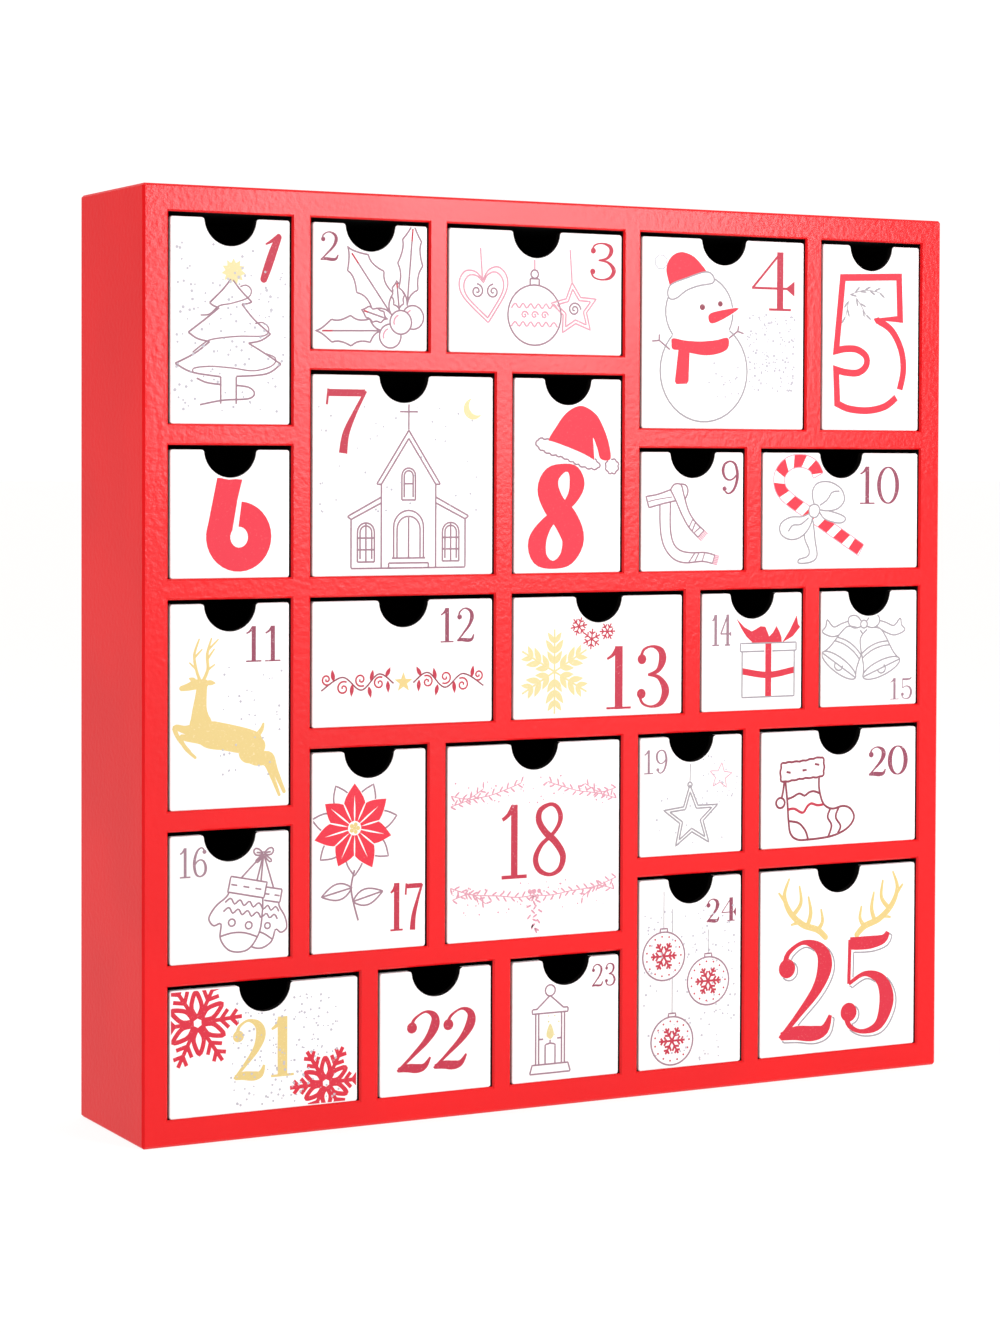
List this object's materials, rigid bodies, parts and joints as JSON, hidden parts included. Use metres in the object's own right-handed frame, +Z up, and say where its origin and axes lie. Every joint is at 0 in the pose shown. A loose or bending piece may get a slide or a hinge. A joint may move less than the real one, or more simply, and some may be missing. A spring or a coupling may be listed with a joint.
{
  "type": "wooden advent calendar",
  "caption": "Shallow upright wooden cabinet with an irregular grid of small numbered drawers, each pulled by a half-round finger notch, for counting down to a holiday.",
  "frame": {"origin": "middle of the base, on the surface that the cabinet stands on", "axes": "+Z up, drawer fronts face -Y, +X to the right seen from the front"},
  "size_m": [0.32, 0.06, 0.32],
  "materials": {
    "red_paint": "satin red paint sprayed on fibreboard, arrises eased",
    "white_paint": "satin white paint on thin board, printed",
    "black_paint": "matt black stain on thin board"
  },
  "bodies": {
    "case": {"left_side": "red_paint", "right_side": "red_paint", "bottom_board": "red_paint", "top_board": "red_paint", "middle_shelf": "red_paint", "lower_shelf": "red_paint", "column_divider": "red_paint", "short_shelves": "red_paint", "short_dividers": "red_paint", "back_panel": "red_paint"},
    "drawer_01": {"drawer_front_01": "white_paint", "drawer_tray_01": "black_paint"},
    "drawer_02": {"drawer_front_02": "white_paint", "drawer_tray_02": "black_paint"},
    "drawer_03": {"drawer_front_03": "white_paint", "drawer_tray_03": "black_paint"},
    "drawer_04": {"drawer_front_04": "white_paint", "drawer_tray_04": "black_paint"},
    "drawer_05": {"drawer_front_05": "white_paint", "drawer_tray_05": "black_paint"},
    "drawer_06": {"drawer_front_06": "white_paint", "drawer_tray_06": "black_paint"},
    "drawer_07": {"drawer_front_07": "white_paint", "drawer_tray_07": "black_paint"},
    "drawer_08": {"drawer_front_08": "white_paint", "drawer_tray_08": "black_paint"},
    "drawer_09": {"drawer_front_09": "white_paint", "drawer_tray_09": "black_paint"},
    "drawer_10": {"drawer_front_10": "white_paint", "drawer_tray_10": "black_paint"},
    "drawer_11": {"drawer_front_11": "white_paint", "drawer_tray_11": "black_paint"},
    "drawer_12": {"drawer_front_12": "white_paint", "drawer_tray_12": "black_paint"},
    "drawer_13": {"drawer_front_13": "white_paint", "drawer_tray_13": "black_paint"},
    "drawer_14": {"drawer_front_14": "white_paint", "drawer_tray_14": "black_paint"},
    "drawer_15": {"drawer_front_15": "white_paint", "drawer_tray_15": "black_paint"},
    "drawer_16": {"drawer_front_16": "white_paint", "drawer_tray_16": "black_paint"},
    "drawer_17": {"drawer_front_17": "white_paint", "drawer_tray_17": "black_paint"},
    "drawer_18": {"drawer_front_18": "white_paint", "drawer_tray_18": "black_paint"},
    "drawer_19": {"drawer_front_19": "white_paint", "drawer_tray_19": "black_paint"},
    "drawer_20": {"drawer_front_20": "white_paint", "drawer_tray_20": "black_paint"},
    "drawer_21": {"drawer_front_21": "white_paint", "drawer_tray_21": "black_paint"},
    "drawer_22": {"drawer_front_22": "white_paint", "drawer_tray_22": "black_paint"},
    "drawer_23": {"drawer_front_23": "white_paint", "drawer_tray_23": "black_paint"},
    "drawer_24": {"drawer_front_24": "white_paint", "drawer_tray_24": "black_paint"},
    "drawer_25": {"drawer_front_25": "white_paint", "drawer_tray_25": "black_paint"}
  },
  "joints": [
    {"name": "drawer_01_slide", "type": "slide", "parent": "case", "child": "drawer_01", "axis": [0, -1, 0], "range_m": [0, 0.058]},
    {"name": "drawer_02_slide", "type": "slide", "parent": "case", "child": "drawer_02", "axis": [0, -1, 0], "range_m": [0, 0.058]},
    {"name": "drawer_03_slide", "type": "slide", "parent": "case", "child": "drawer_03", "axis": [0, -1, 0], "range_m": [0, 0.058]},
    {"name": "drawer_04_slide", "type": "slide", "parent": "case", "child": "drawer_04", "axis": [0, -1, 0], "range_m": [0, 0.058]},
    {"name": "drawer_05_slide", "type": "slide", "parent": "case", "child": "drawer_05", "axis": [0, -1, 0], "range_m": [0, 0.058]},
    {"name": "drawer_06_slide", "type": "slide", "parent": "case", "child": "drawer_06", "axis": [0, -1, 0], "range_m": [0, 0.058]},
    {"name": "drawer_07_slide", "type": "slide", "parent": "case", "child": "drawer_07", "axis": [0, -1, 0], "range_m": [0, 0.058]},
    {"name": "drawer_08_slide", "type": "slide", "parent": "case", "child": "drawer_08", "axis": [0, -1, 0], "range_m": [0, 0.058]},
    {"name": "drawer_09_slide", "type": "slide", "parent": "case", "child": "drawer_09", "axis": [0, -1, 0], "range_m": [0, 0.058]},
    {"name": "drawer_10_slide", "type": "slide", "parent": "case", "child": "drawer_10", "axis": [0, -1, 0], "range_m": [0, 0.058]},
    {"name": "drawer_11_slide", "type": "slide", "parent": "case", "child": "drawer_11", "axis": [0, -1, 0], "range_m": [0, 0.058]},
    {"name": "drawer_12_slide", "type": "slide", "parent": "case", "child": "drawer_12", "axis": [0, -1, 0], "range_m": [0, 0.058]},
    {"name": "drawer_13_slide", "type": "slide", "parent": "case", "child": "drawer_13", "axis": [0, -1, 0], "range_m": [0, 0.058]},
    {"name": "drawer_14_slide", "type": "slide", "parent": "case", "child": "drawer_14", "axis": [0, -1, 0], "range_m": [0, 0.058]},
    {"name": "drawer_15_slide", "type": "slide", "parent": "case", "child": "drawer_15", "axis": [0, -1, 0], "range_m": [0, 0.058]},
    {"name": "drawer_16_slide", "type": "slide", "parent": "case", "child": "drawer_16", "axis": [0, -1, 0], "range_m": [0, 0.058]},
    {"name": "drawer_17_slide", "type": "slide", "parent": "case", "child": "drawer_17", "axis": [0, -1, 0], "range_m": [0, 0.058]},
    {"name": "drawer_18_slide", "type": "slide", "parent": "case", "child": "drawer_18", "axis": [0, -1, 0], "range_m": [0, 0.058]},
    {"name": "drawer_19_slide", "type": "slide", "parent": "case", "child": "drawer_19", "axis": [0, -1, 0], "range_m": [0, 0.058]},
    {"name": "drawer_20_slide", "type": "slide", "parent": "case", "child": "drawer_20", "axis": [0, -1, 0], "range_m": [0, 0.058]},
    {"name": "drawer_21_slide", "type": "slide", "parent": "case", "child": "drawer_21", "axis": [0, -1, 0], "range_m": [0, 0.058]},
    {"name": "drawer_22_slide", "type": "slide", "parent": "case", "child": "drawer_22", "axis": [0, -1, 0], "range_m": [0, 0.058]},
    {"name": "drawer_23_slide", "type": "slide", "parent": "case", "child": "drawer_23", "axis": [0, -1, 0], "range_m": [0, 0.058]},
    {"name": "drawer_24_slide", "type": "slide", "parent": "case", "child": "drawer_24", "axis": [0, -1, 0], "range_m": [0, 0.058]},
    {"name": "drawer_25_slide", "type": "slide", "parent": "case", "child": "drawer_25", "axis": [0, -1, 0], "range_m": [0, 0.058]}
  ]
}
